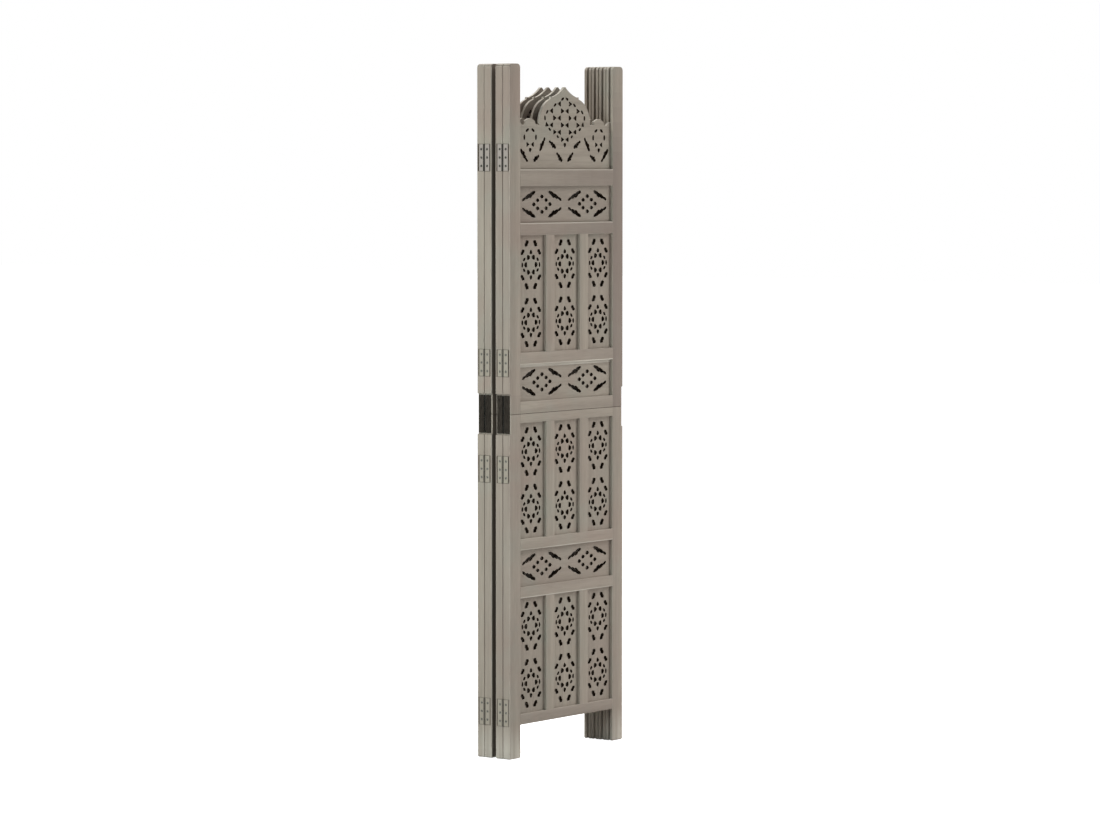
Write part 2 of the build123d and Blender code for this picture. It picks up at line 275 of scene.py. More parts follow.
def washed_wood(name, grain_axis):
    """Greige wash over wood whose grain runs along an axis: 0 across, 2 upright."""
    material, tree, shader = painted(name)
    place = add(tree, "TexCoord").outputs["Object"]
    squeeze = [1.0, 1.0, 1.0]
    squeeze[grain_axis] = GRAIN_SQUEEZE
    along = add(tree, "Mapping", {"Vector": place, "Scale": squeeze}).outputs["Vector"]
    grain = tree.nodes.new("ShaderNodeGroup")
    grain.node_tree = GRAIN
    tree.links.new(along, grain.inputs["Grain Place"])
    tree.links.new(place, grain.inputs["Plain Place"])
    mark = {
        word: add(tree, "Attribute", attribute_name=word).outputs["Fac"]
        for word in ("arris", "cut", "tone")
    }
    colour = mixed(tree, grain.outputs["Streaks"], WASH_DARK, WASH_LIGHT)
    warm = stretched(tree, grain.outputs["Warmth"], 0.45, 1.0, 0.0, 0.65)
    colour = mixed(tree, warm, colour, WASH_WARM)
    cool = stretched(tree, grain.outputs["Patches"], 0.5, 1.0, 0.0, 0.55)
    colour = mixed(tree, cool, colour, WASH_COOL)
    shade = stretched(tree, grain.outputs["Fibres"], 0.0, 0.6, 0.10, 0.0)
    colour = mixed(tree, shade, colour, WASH_DARK, "MULTIPLY")
    own_tone = stretched(tree, mark["tone"], 0.0, 1.0, 0.0, 0.9)
    colour = mixed(tree, own_tone, colour, WASH_DEEP)
    # Paler on the feet, where they are scuffed, and where marked "arris": wear together with painted highlight.
    height = add(tree, "SeparateXYZ", {"Vector": place}).outputs["Z"]
    scuffed = stretched(tree, height, 0.0, SCUFF_HEIGHT, 0.75, 0.0)
    patchy = stretched(tree, grain.outputs["Streaks"], 0.1, 0.8, 0.5, 1.0)
    pale_wear_and_highlight = maths(tree, "MULTIPLY", maths(tree, "MAXIMUM", mark["arris"], scuffed), patchy)
    colour = mixed(tree, pale_wear_and_highlight, colour, BARE_EDGE_AND_HIGHLIGHT)
    # Darker where marked "cut": the saw's dark on carving walls and painted shade elsewhere; marks above 1 go to the
    # near black painted shade beside the joining plates.
    colour = mixed(tree, mark["cut"], colour, SAWN_AND_SHADE_DARK)
    colour = mixed(tree, stretched(tree, mark["cut"], 1.0, 2.0), colour, SLOT_SHADE_BLACK)
    tree.links.new(colour, shader.inputs["Base Color"])
    matt = stretched(tree, grain.outputs["Fibres"], 0.0, 1.0, 0.82, 0.66)
    tree.links.new(matt, shader.inputs["Roughness"])
    relief = maths(tree, "ADD", grain.outputs["Fibres"], maths(tree, "MULTIPLY", grain.outputs["Streaks"], 0.6))
    bump = add(tree, "Bump", {"Height": relief, "Strength": 0.25, "Distance": 0.0004})
    tree.links.new(bump.outputs["Normal"], shader.inputs["Normal"])
    shader.inputs["Specular IOR Level"].default_value = 0.12
    return material


UPRIGHT_WOOD = washed_wood("upright_washed_wood", 2)
CROSS_WOOD = washed_wood("cross_washed_wood", 0)
print("mixed", UPRIGHT_WOOD.name, "and", CROSS_WOOD.name)

# %% [markdown]
# The hinges were on the screen when it was washed, so their leaves carry the same paint with
# dark steel showing where it is thin. The joining plates were fitted later and are black.

# %% Mix the metal finishes
# A dark that stands for dark steel together with painted shade, on hinge barrels and in screw slots.
DARK_STEEL_AND_SHADE = (0.020, 0.018, 0.015, 1.0)


def painted_steel(name, coat, bare, wear_from, streak):
    """Steel under a coat that is patchy, thinner on its arrises and streaked up and down. Faces
    marked "cut" go dark: dark steel with painted shade on hinge barrels, painted shade in slots.
    """
    material, tree, shader = painted(name)
    place = add(tree, "TexCoord").outputs["Object"]
    along = add(tree, "Mapping", {"Vector": place, "Scale": (1.0, 1.0, 0.12)}).outputs["Vector"]
    patches = add(tree, "TexNoise", {"Vector": place, "Scale": 260.0, "Detail": 4.0}).outputs[0]
    streaks = add(tree, "TexNoise", {"Vector": along, "Scale": 520.0, "Detail": 3.0}).outputs[0]
    arris, dark_and_shaded, lost = (
        add(tree, "Attribute", attribute_name=word).outputs["Fac"] for word in ("arris", "cut", "tone")
    )
    thin = stretched(tree, maths(tree, "ADD", patches, maths(tree, "MULTIPLY", arris, 0.2)), wear_from, wear_from + 0.12)
    streaked = stretched(tree, streaks, 0.35, 0.65, 0.0, streak)
    colour = mixed(tree, thin, coat, bare)
    colour = mixed(tree, streaked, colour, bare)
    colour = mixed(tree, maths(tree, "MULTIPLY", lost, 0.7), colour, bare)
    colour = mixed(tree, dark_and_shaded, colour, DARK_STEEL_AND_SHADE)
    tree.links.new(colour, shader.inputs["Base Color"])
    tree.links.new(stretched(tree, patches, 0.3, 0.7, 0.7, 0.92), shader.inputs["Roughness"])
    shader.inputs["Specular IOR Level"].default_value = 0.12
    bump = add(tree, "Bump", {"Height": patches, "Strength": 0.3, "Distance": 0.0003})
    tree.links.new(bump.outputs["Normal"], shader.inputs["Normal"])
    return material


HINGE_STEEL = painted_steel("washed_hinge_steel", (0.276, 0.246, 0.192, 1.0), (0.300, 0.262, 0.242, 1.0), 0.62, 0.15)
SCREW_STEEL = painted_steel("dark_screw_steel", (0.050, 0.046, 0.040, 1.0), (0.190, 0.175, 0.150, 1.0), 0.62, 0.5)
PLATE_BLACK = painted_steel("streaked_black_plate", (0.008, 0.006, 0.004, 1.0), (0.052, 0.043, 0.033, 1.0), 0.66, 0.5)
print("mixed", HINGE_STEEL.name, SCREW_STEEL.name, PLATE_BLACK.name)

# %% [markdown]
# Stiles, rails and mullions are planed square and their arrises are eased with a block. The
# measured solid already has the grooves, hinge recesses and rounded tips, so a copy of it is
# kept and only its outward edges are bevelled. Rails and mullions butt against their
# neighbours, so there only the long edges are eased, or gaps would open at the joints.

# %% Ease the arrises of the frame
ARRIS_MM = 0.9
FOOT_ROUND_MM = 3.5
SEAM_MM = 910.0
PLATE_HALF_MM = 50.0
# Heights of rail arrises, in mm, where a band is painted pale as a highlight, and how pale.
HIGHLIGHT_HEIGHTS_MM = {422.5: 0.6, 549.5: 0.6, 1039.0: 1.0, 1412.0: 0.5, 1553.0: 0.6}
HIGHLIGHT_BAND_MM = 3.0
# Width in mm of the band of painted shade inside the open fold, and of the pale rim kept beside it.
FOLD_SHADE_MM = 20.0
FOLD_RIM_MM = 3.6
FOOT_MM = 88.0
TOP_LEAF_MM = (1547.5, 1619.5)
LEAF_EDGE_MM = 17.5
PLATE_RIM_MM = 3.45
STILE_TONES = {1: 0.3, 2: 0.3, 3: 0.12, 4: 0.0}
RAIL_TONES = {"lower": (0.45, 0.2, 0.15, 0.0), "upper": (0.0, 0.1, 0.4, 0.3)}
RAIL_STEPS_MM = (120.0, 180.0, 240.0, 300.0, 360.0, 420.0)
FADE_HEIGHTS_MM = (1600.0, 1640.0, 1680.0, 1720.0, 1760.0)


def scored(piece, axis, *places):
    """Scores lines right round a piece, square to an axis, and takes nothing off."""
    for place in places:
        point, across = Vector(), Vector()
        point[axis], across[axis] = place, 1.0
        bmesh.ops.bisect_plane(
            piece, geom=piece.verts[:] + piece.edges[:] + piece.faces[:],
            plane_co=point, plane_no=across,
        )


def outward(edge):
    """Whether an edge stands out and is sharp."""
    return edge.is_manifold and edge.calc_face_angle_signed() > math.radians(30)


def runs_along(edge, axis):
    """Whether an edge is straight along one axis of the bench."""
    first, second = (vert.co for vert in edge.verts)
    return abs((second - first).normalized()[axis]) > 0.999


def eased(piece, edges, width, segments=2, wear_and_highlight_share=1.0):
    """Bevels some edges and marks how pale the new faces are: wear together with painted highlight."""
    arris = piece.faces.layers.float["arris"]
    made = bmesh.ops.bevel(
        piece, geom=edges, offset=width, offset_type="OFFSET", affect="EDGES",
        segments=segments, profile=0.5, material=-1, clamp_overlap=True,
    )
    for face in made["faces"]:
        face[arris] = wear_and_highlight_share
    return made["faces"]


def marked(piece):
    """Gives a bench piece the face marks that the wood finish reads."""
    for word in ("arris", "cut", "tone"):
        if word not in piece.faces.layers.float:
            piece.faces.layers.float.new(word)
    return piece


def toned(piece, seed, deepest=0.35):
    """Gives each solid of a piece its own depth of colour, the same on every run."""
    tone = piece.faces.layers.float["tone"]
    for number, verts in enumerate(solids_of(piece)):
        share = deepest * ((seed * 0.37 + number * 0.618) % 1.0)
        for face in {face for vert in verts for face in vert.link_faces}:
            face[tone] = share


def marked_shade_and_dirt(piece, shares):
    """Marks faces dark, as painted shade or as dirt, by a rule that gives a share for a face's middle, or None."""
    arris, cut = (piece.faces.layers.float[word] for word in ("arris", "cut"))
    for face in piece.faces:
        share = shares(face, face.calc_center_median())
        if share is not None:
            face[arris], face[cut] = 0.0, share


def seam_grime(face, middle):
    """Dirt collects where the upper frame stands on the lower one."""
    return 0.6 if abs(middle.z - SEAM_MM) < ARRIS_MM else None


def stile_shade_and_dirt(panel, side, edge_x, thickness):
    """Painted shade in the recesses of a stile, in the open fold, beside the joining plates and on the arrises that
    meet a folded neighbour, and dirt at the seam.
    """
    meets_front = panel > 1 and (side == "right" or panel % 2 == 0)
    meets_back = panel < PANELS[-1] and (side == "right" or panel % 2 == 1)
    neighbours = [y for y, near in ((0.0, meets_front), (thickness, meets_back)) if near]
    open_fold = {("left", 2): thickness, ("left", 3): 0.0}.get((side, panel))

    def share(face, middle):
        depth = abs(middle.x - edge_x)
        # Painted shade on the inner faces of the feet.
        if middle.z < FOOT_MM and depth > 30 and abs(face.normal.x) > 0.9:
            return 0.32
        if panel == 3 and side == "left" and depth < FOLD_RIM_MM and abs(middle.y) < 0.1:
            return None
        # Painted shade on the face inside the open middle fold.
        if open_fold is not None and depth < FOLD_SHADE_MM and abs(middle.y - open_fold) < 0.1:
            return 0.7
        # Painted shade beside the top leaf of the last panel.
        at_top_leaf = TOP_LEAF_MM[0] < middle.z < TOP_LEAF_MM[1] and side == "left"
        if panel == PANELS[-1] and at_top_leaf and depth < ARRIS_MM and middle.y > LEAF_EDGE_MM - 1:
            return 0.65
        in_slot = abs(middle.z - SEAM_MM) < PLATE_HALF_MM + ARRIS_MM
        let_in = 0.9 * ARRIS_MM < depth < 6
        if abs(middle.z - SEAM_MM) < 2 * PLATE_HALF_MM and let_in and not in_slot:
            return 0.0
        # Near black painted shade in the slot where two joining plates meet.
        beside = any(abs(middle.y - y) < 2.6 for y in neighbours)
        if in_slot and beside and depth < 6:
            return 2.0
        # Painted shade round the rims of the hinge recesses.
        round_leaf = 0.05 < depth < ARRIS_MM and 1 < middle.y < thickness - 1
        if round_leaf and 10 < middle.z < 1800 and not in_slot:
            return 0.35
        # Painted shade on the arrises that meet a folded neighbour, and on the hinge recess floors there.
        if any(abs(middle.y - y) < ARRIS_MM for y in neighbours) and abs(face.normal.y) < 0.98:
            if side == "left" and middle.z > TOP_LEAF_MM[1]:
                return 0.1
            return (0.5 if middle.z < 200 else 0.9) if let_in else 0.4
        # Painted shade on the floors of the hinge recesses.
        if let_in and abs(face.normal.z) < 0.5 and not in_slot:
            return 0.45 if middle.z < 200 else 0.85
        return seam_grime(face, middle)

    return share


def pale_wear_and_highlight(rails):
    """Scores a band beside some arrises of the rails and marks it pale, as a painted highlight."""
    arris = rails.faces.layers.float["arris"]
    for height, wear_and_highlight_share in HIGHLIGHT_HEIGHTS_MM.items():
        scored(rails, 2, height - HIGHLIGHT_BAND_MM, height + HIGHLIGHT_BAND_MM)
        for face in rails.faces:
            near = abs(face.calc_center_median().z - height) < HIGHLIGHT_BAND_MM
            if near and abs(face.normal.y) > 0.5:
                face[arris] = wear_and_highlight_share


wood_count = 0
for panel in PANELS:
    for level in ("lower", "upper"):
        for side in ("left", "right"):
            node = f"panel_{panel}_{level}_{side}_stile"
            stile = marked(taken_down(node, panel))
            low, high = box_of(stile.verts)
            scored(stile, 2, SEAM_MM + (PLATE_HALF_MM if level == "upper" else -PLATE_HALF_MM))
            if level == "lower":
                ends = [e for e in stile.edges if outward(e) and all(v.co.z < 0.1 for v in e.verts)]
                eased(stile, ends, FOOT_ROUND_MM, segments=3, wear_and_highlight_share=0.5)
            edges = [e for e in stile.edges if outward(e) and max(v.co.z for v in e.verts) > 6]
            eased(stile, edges, ARRIS_MM, wear_and_highlight_share=0.35)
            if side == "left" and panel in (2, 3):
                scored(stile, 0, low.x + FOLD_SHADE_MM, low.x + FOLD_RIM_MM)
            scored(stile, 1, PLATE_RIM_MM, high.y - PLATE_RIM_MM)
            if level == "lower":
                scored(stile, 2, FOOT_MM)
            if (level, side) == ("upper", "right"):
                scored(stile, 2, *FADE_HEIGHTS_MM)
            if side == "left" and panel == PANELS[-1] and level == "upper":
                scored(stile, 2, *TOP_LEAF_MM)
                scored(stile, 1, LEAF_EDGE_MM)
            marked_shade_and_dirt(stile, stile_shade_and_dirt(panel, side, low.x if side == "left" else high.x, high.y))
            own_tone = 0.85 if (panel, level, side) == (1, "upper", "right") else STILE_TONES[panel]
            arris, tone = (stile.faces.layers.float[word] for word in ("arris", "tone"))
            for face in stile.faces:
                # On panel 3 a strip of the front face at the fold edge is painted pale, a painted highlight at the
                # edge of the fold gap.
                in_fold = face.calc_center_median().x - low.x < FOLD_RIM_MM and abs(face.calc_center_median().y) < 0.1
                if panel == 3 and side == "left" and in_fold:
                    face[arris] = 0.8
                faded = sum(face.calc_center_median().z > height for height in FADE_HEIGHTS_MM)
                face[tone] = own_tone * (1 - faded / (len(FADE_HEIGHTS_MM) + 1))
                if side == "right" and abs(face.normal.x) > 0.5:
                    face[tone] = 0.0
                # Upward faces at the top of an upper stile are painted pale, a painted highlight; the lower stiles'
                # tops get none.
                if face.normal.z > 0.3 and face.calc_center_median().z > high.z - 15:
                    face[arris] = 0.6 if level == "upper" else 0.0
            put_up(stile, node + "_eased", panel, f"panel_{panel}", [node], UPRIGHT_WOOD)
            wood_count += 1
    for level in ("lower", "upper"):
        node = f"panel_{panel}_{level}_rails"
        rails = marked(taken_down(node, panel))
        long_edges = [e for e in rails.edges if outward(e) and runs_along(e, 0)]
        eased(rails, long_edges, ARRIS_MM, wear_and_highlight_share=0.25)
        pale_wear_and_highlight(rails)
        marked_shade_and_dirt(rails, seam_grime)
        scored(rails, 0, *RAIL_STEPS_MM)
        tone = rails.faces.layers.float["tone"]
        for base, verts in zip(RAIL_TONES[level], solids_of(rails)):
            for face in {face for vert in verts for face in vert.link_faces}:
                along = sum(face.calc_center_median().x > place for place in RAIL_STEPS_MM)
                face[tone] = base + (0.07 if level == "upper" else 0.02) * along
        put_up(rails, node + "_eased", panel, f"panel_{panel}", [node], CROSS_WOOD)
        wood_count += 1
    node = f"panel_{panel}_mullions"
    mullions = marked(taken_down(node, panel))
    eased(mullions, [e for e in mullions.edges if outward(e) and runs_along(e, 2)], ARRIS_MM, wear_and_highlight_share=0.4)
    toned(mullions, panel + 2, 0.2)
    # The side walls of the mullions are painted a little darker, as painted shade in the openings.
    marked_shade_and_dirt(mullions, lambda face, middle: 0.12 if abs(face.normal.x) > 0.9 else None)
    put_up(mullions, node + "_eased", panel, f"panel_{panel}", [node], UPRIGHT_WOOD)
    wood_count += 1
print("eased", wood_count, "frame pieces")

# %% [markdown]
# A jali board is a drawing that has been cut out. So it is drawn flat first: every hole is a
# ring of vertices, pushed in and out to get its points and lumps, then sized, turned and
# moved. Filling the outline leaves the rings open. The sheet is extruded to its thickness, and
# the rims of the holes are eased a little, as sanding does.

# %% Draw, fill and cut a board
BOARD_DEPTH_MM = 8.0
RIM_MM = 0.45
LIE_TO_STAND = Matrix.Rotation(math.radians(90), 4, "X")


def ring(drawing, shape, middle, size, turn=0.0, flip=(1, 1), about=(0.0, 0.0)):
    """Draws one hole: a circle whose vertices are pulled to the corners of a shape."""
    is_hole = drawing.verts.layers.int["hole"]
    made = bmesh.ops.create_circle(drawing, cap_ends=False, segments=len(shape), radius=1.0)
    for vert, corner in zip(made["verts"], shape):
        vert.co = (*corner, 0)
        vert[is_hole] = 1
    place = (
        Matrix.Translation((*about, 0))
        @ Matrix.Diagonal((*flip, 1, 1))
        @ Matrix.Translation((*middle, 0))
        @ Matrix.Rotation(math.radians(turn), 4, "Z")
        @ Matrix.Diagonal((size[0] / 2, size[1] / 2, 1, 1))
    )
    bmesh.ops.transform(drawing, matrix=place, verts=made["verts"])


def new_drawing():
    """A clean sheet with a mark for the vertices of holes."""
    drawing = bmesh.new()
    drawing.verts.layers.int.new("hole")
    return drawing


def rectangle(drawing, width, height):
    """Draws the outline of a plain board about zero."""
    made = bmesh.ops.create_grid(drawing, x_segments=1, y_segments=1, size=0.5)
    bmesh.ops.scale(drawing, vec=(width, height, 1), verts=made["verts"])
    bmesh.ops.delete(drawing, geom=drawing.faces[:], context="FACES_ONLY")


def sawn(drawing, thickness, rim=RIM_MM, all_rims=False):
    """Fills a drawing round its holes and makes it a board of that thickness, front at zero."""
    bmesh.ops.triangle_fill(drawing, edges=drawing.edges[:], use_beauty=True, use_dissolve=False)
    made = bmesh.ops.extrude_face_region(drawing, geom=drawing.faces[:], use_keep_orig=True)
    behind = [item for item in made["geom"] if isinstance(item, bmesh.types.BMVert)]
    bmesh.ops.translate(drawing, vec=(0, 0, -thickness), verts=behind)
    bmesh.ops.recalc_face_normals(drawing, faces=drawing.faces[:])
    marked(drawing)
    is_hole, cut = drawing.verts.layers.int["hole"], drawing.faces.layers.float["cut"]
    arris = drawing.faces.layers.float["arris"]
    # Hole walls are marked "cut", the dark the saw left. Outer walls get the full pale mark, which is a painted
    # highlight; it shows on the crown's edges.
    for face in drawing.faces:
        if abs(face.normal.z) < 0.5:
            in_hole = all(vert[is_hole] for vert in face.verts)
            face[cut], face[arris] = (1.0, 0.0) if in_hole else (0.0, 1.0)
    rims = [
        edge for edge in drawing.edges
        if outward(edge) and abs(edge.verts[0].co.z - edge.verts[1].co.z) < 0.01
        and (all_rims or all(vert[is_hole] for vert in edge.verts))
    ]
    for face in eased(drawing, rims, rim, segments=1, wear_and_highlight_share=0.3):
        face[cut] = 0.0
    mesh = bpy.data.meshes.new("sawn_board")
    drawing.to_mesh(mesh)
    drawing.free()
    return mesh


# %% [markdown]
# These are the shapes that the carver repeats, each as corners read anticlockwise, in shares
# of half its length and half its width. Round ones are given by how far each spoke of a wheel
# reaches. The tricorn is the gap that three touching circles leave. The leaves swell in
# lumps, and the long one has its largest lump on one side.

# %% The carver's shapes
def spokes(*reach, first=0.0):
    """The corners of a round shape from the reach of each of its spokes."""
    angles = [2 * math.pi * number / len(reach) + math.radians(first) for number in range(len(reach))]
    return [(share * math.cos(angle), share * math.sin(angle)) for share, angle in zip(reach, angles)]


TRICORN = spokes(*(1.0, 0.66, 0.54, 0.66) * 3)
PETAL = spokes(*(0.95, 0.8, 0.8, 0.95) * 3, first=15)
DROP = spokes(*(1.0, 0.93) * 4)
TEAR = spokes(1.25, 0.82, 0.88, 1.0, 0.95, 1.0, 0.88, 0.82)
SLIT = spokes(*(1.0, 0.98) * 5)
LEAF = (
    (1.0, 0.1), (0.75, 0.55), (0.45, 0.7), (0.2, 0.6), (-0.1, 1.0), (-0.45, 0.9), (-0.75, 0.5),
    (-1.0, 0.1), (-0.9, -0.35), (-0.6, -0.75), (-0.3, -0.65), (0.1, -1.0), (0.45, -0.85), (0.8, -0.5),
)
LONG_LEAF = (
    (1.0, 0.1), (0.9, 0.55), (0.68, 0.8), (0.56, 0.62), (0.36, 1.15), (0.1, 1.3), (0.0, 0.7),
    (-0.2, 0.85), (-0.38, 0.75), (-0.46, 0.35), (-0.7, 0.55), (-0.92, 0.55), (-1.0, 0.1),
    (-0.93, -0.5), (-0.7, -0.7), (-0.52, -0.5), (-0.25, -0.9), (0.05, -0.95), (0.18, -0.65),
    (0.45, -0.95), (0.7, -0.75), (0.93, -0.5),
)
QUARTERS = ((1, 1), (-1, 1), (-1, -1), (1, -1))


def rosette(drawing, middle):
    """The six petalled flower of the column boards with its leaves."""
    for petal in range(6):
        angle = math.radians(60 * petal)
        spot = (22.5 * math.cos(angle), 22.5 * math.sin(angle))
        ring(drawing, PETAL, spot, (15.5, 16.5), 60 * petal, about=middle)
    for side in (1, -1):
        ring(drawing, TEAR, (0, 33 * side), (12.0, 14.0), 90 * side, about=middle)
        ring(drawing, SLIT, (38 * side, 0), (7.5, 13.5), about=middle)
    for flip in QUARTERS:
        ring(drawing, SLIT, (29.6, 14.2), (12.5, 8.0), -40, flip, middle)
        ring(drawing, LEAF, (37.0, 33.5), (20.0, 13.0), -36, flip, middle)
        ring(drawing, LEAF, (19.0, 56.5), (22.0, 15.0), -42, flip, middle)


def column_drawing(width, height):
    """A column board: two flowers, one above the other."""
    drawing = new_drawing()
    rectangle(drawing, width, height)
    for side in (1, -1):
        rosette(drawing, (0, 76 * side))
    return drawing


def frieze_drawing(width, height):
    """A frieze board: two diamonds of long leaves round a ring of drops."""
    drawing = new_drawing()
    rectangle(drawing, width, height)
    for side in (1, -1):
        middle = (102 * side, 0)
        for flip in QUARTERS:
            ring(drawing, LONG_LEAF, (58.0, 22.0), (64.0, 12.5), 158, flip, middle)
            ring(drawing, DROP, (18.8, 10.6), (15.5, 11.0), 0, flip, middle)
        for far in (1, -1):
            ring(drawing, DROP, (35.6 * far, 0), (16.0, 11.5), about=middle)
            ring(drawing, DROP, (0, 20.3 * far), (16.0, 11.5), about=middle)
    return drawing


# %% [markdown]
# The crown board stands free above the top rail, so its outline is drawn too. A vertex is
# spun round each arc in turn and leaves edges behind it, for the right half only. The mirror
# then gives the left half, which no carver draws twice either.

# %% Draw the crown
CROWN_EDGE = (  # where each stretch ends and, for an arc, a point it passes through
    ((7.0, 214.0), (4.0, 216.9)),
    ((55.0, 190.5), (22.0, 203.5)),
    ((62.0, 191.5), None),
    ((63.0, 185.5), None),
    ((97.0, 165.0), (82.0, 177.5)),
    ((114.5, 128.0), (108.0, 148.0)),
    ((115.0, 117.0), None),
    ((121.0, 118.0), (118.0, 116.0)),
    ((131.0, 119.5), None),
    ((132.5, 126.5), None),
    ((140.0, 130.0), (136.5, 128.6)),
    ((154.0, 134.0), (147.0, 133.0)),
    ((168.0, 130.0), (161.0, 133.0)),
    ((176.0, 126.0), (172.5, 128.3)),
    ((178.5, 119.5), None),
    ((190.0, 117.0), (184.0, 115.5)),
    ((209.0, 127.0), (200.0, 124.5)),
)
CROWN_TIP = (0.0, 218.0)
CROWN_LEAVES = (  # thin end and thick end
    ((37.0, 43.0), (12.5, 21.0)),
    ((70.0, 74.0), (40.5, 56.5)),
    ((89.0, 83.0), (111.5, 48.5)),
    ((115.0, 36.5), (138.5, 21.5)),
    ((165.5, 20.0), (197.0, 53.0)),
)
LATTICE_HEIGHT = 135.5
LATTICE_GAPS = (  # across and up from the lattice's middle, size, and which way it points
    (23.3, 0, 17.5, 0), (46.7, 0, 17.5, 180), (11.7, 18.75, 17.5, 180), (11.7, -18.75, 17.5, 180),
    (58.3, 18.75, 17.5, 0), (58.3, -18.75, 17.5, 0), (23.3, 37.5, 17.5, 0), (23.3, -37.5, 17.5, 0),
    (46.0, -37.0, 16.5, 180), (80.5, -18.0, 16.5, 200), (11.7, -57.0, 16.5, 180),
)
LATTICE_SLITS = (  # across and up, length and width, and turn
    (88.5, 0.0, 14.0, 8.0, 90), (78.5, 16.0, 14.5, 7.0, -45), (43.5, 34.5, 15.0, 7.0, -33),
    (10.0, 50.5, 15.0, 7.5, -22), (67.5, -30.0, 13.0, 7.0, 28), (31.5, -49.5, 11.0, 7.0, 28),
)


def arc_on(drawing, tip, through, end, step_mm=4.0):
    """Spins the last vertex round the circle through three points, and gives the new last one."""
    start, through, end = tip.co.copy(), Vector((*through, 0)), Vector((*end, 0))
    a, b = through - start, end - start
    across = a.x * b.y - a.y * b.x
    centre = start + Vector((
        b.y * a.length_squared - a.y * b.length_squared,
        a.x * b.length_squared - b.x * a.length_squared, 0)) / (2 * across)
    radius = (start - centre).length
    swept = 2 * math.asin(min(1.0, b.length / 2 / radius))
    angle = swept if across > 0 else -swept
    steps = max(2, round(radius * swept / step_mm))
    made = bmesh.ops.spin(
        drawing, geom=[tip], cent=centre, axis=(0, 0, 1), angle=angle, steps=steps,
        dvec=(0, 0, 0), use_duplicate=False, use_merge=False,
    )
    return next(item for item in made["geom_last"] if isinstance(item, bmesh.types.BMVert))


def line_on(drawing, tip, end):
    """Carries the drawing on in a straight line, and gives the new last vertex."""
    vert = drawing.verts.new((*end, 0))
    drawing.edges.new((tip, vert))
    return vert


def crown_drawing(width):
    """The crown board, about the middle of its foot."""
    drawing = new_drawing()
    tip = drawing.verts.new((*CROWN_TIP, 0))
    for end, through in CROWN_EDGE:
        tip = arc_on(drawing, tip, through, end) if through else line_on(drawing, tip, end)
    for corner in ((width / 2, 127.0), (width / 2, 0.0), (0.0, 0.0)):
        tip = line_on(drawing, tip, corner)
    bmesh.ops.mirror(drawing, geom=drawing.verts[:] + drawing.edges[:], axis="X", merge_dist=0.01)
    bmesh.ops.remove_doubles(drawing, verts=drawing.verts[:], dist=0.01)
    for side in (1, -1):
        flip = (side, 1)
        for across, up, size, turn in LATTICE_GAPS:
            ring(drawing, TRICORN, (across, LATTICE_HEIGHT + up), (1.13 * size, 0.95 * size), turn, flip)
        for across, up, length, wide, turn in LATTICE_SLITS:
            ring(drawing, SLIT, (across, LATTICE_HEIGHT + up), (length, wide), turn, flip)
        for thin, thick in CROWN_LEAVES:
            run = Vector(thick) - Vector(thin)
            turn = math.degrees(math.atan2(run.y, run.x))
            middle = (Vector(thick) + Vector(thin)) / 2
            ring(drawing, LONG_LEAF, tuple(middle), (run.length + 2, 12.5), turn, flip)
        for away in (1, -1):
            ring(drawing, SLIT, (154 + 25.5 * away, 84), (8.0, 15.5), 0, flip)
            ring(drawing, SLIT, (154 + 12.5 * away, 102.7), (15.5, 8.0), -28 * away, flip)
            ring(drawing, TRICORN, (154 + 11.7 * away, 65.2), (16.0, 16.0), 90 + 90 * away, flip)
        ring(drawing, TEAR, (154, 51), (11.5, 13.5), -90, flip)
    ring(drawing, TEAR, (0, LATTICE_HEIGHT - 71), (11.5, 13.5), -90)
    return drawing


# %% [markdown]
# Every board is set in the middle of the frame's thickness, in its grooves. Boards of one size
# are cut once and copied, and each copy gets a depth of colour of its own.

# %% Cut the boards and set them in the frame
# Height in mm above which the top band of a frieze board is painted pale, as a highlight.
HIGHLIGHT_BOARD_TOP_MM = 1032.0
cut_boards = {}


def board_of(kind, width, height, thickness):
    """The mesh of a kind of board at a size, cut the first time it is asked for."""
    key = (kind, round(width, 1), round(height, 1))
    if key not in cut_boards:
        drawing = {
            "column": lambda: column_drawing(width, height),
            "frieze": lambda: frieze_drawing(width, height),
            "crown": lambda: crown_drawing(width),
        }[kind]()
        cut_boards[key] = sawn(drawing, thickness, all_rims=kind == "crown")
        print(key, "has", len(cut_boards[key].polygons), "faces")
    return cut_boards[key]


def set_in(piece, mesh, low, high, from_foot):
    """Adds a copy of a cut board to a bench piece, standing in its solid's box."""
    before = len(piece.verts)
    piece.from_mesh(mesh)
    piece.verts.ensure_lookup_table()
    middle = (low + high) / 2
    up = low.z if from_foot else middle.z
    place = Matrix.Translation((middle.x, low.y, up)) @ LIE_TO_STAND
    bmesh.ops.transform(piece, matrix=place, verts=piece.verts[before:])


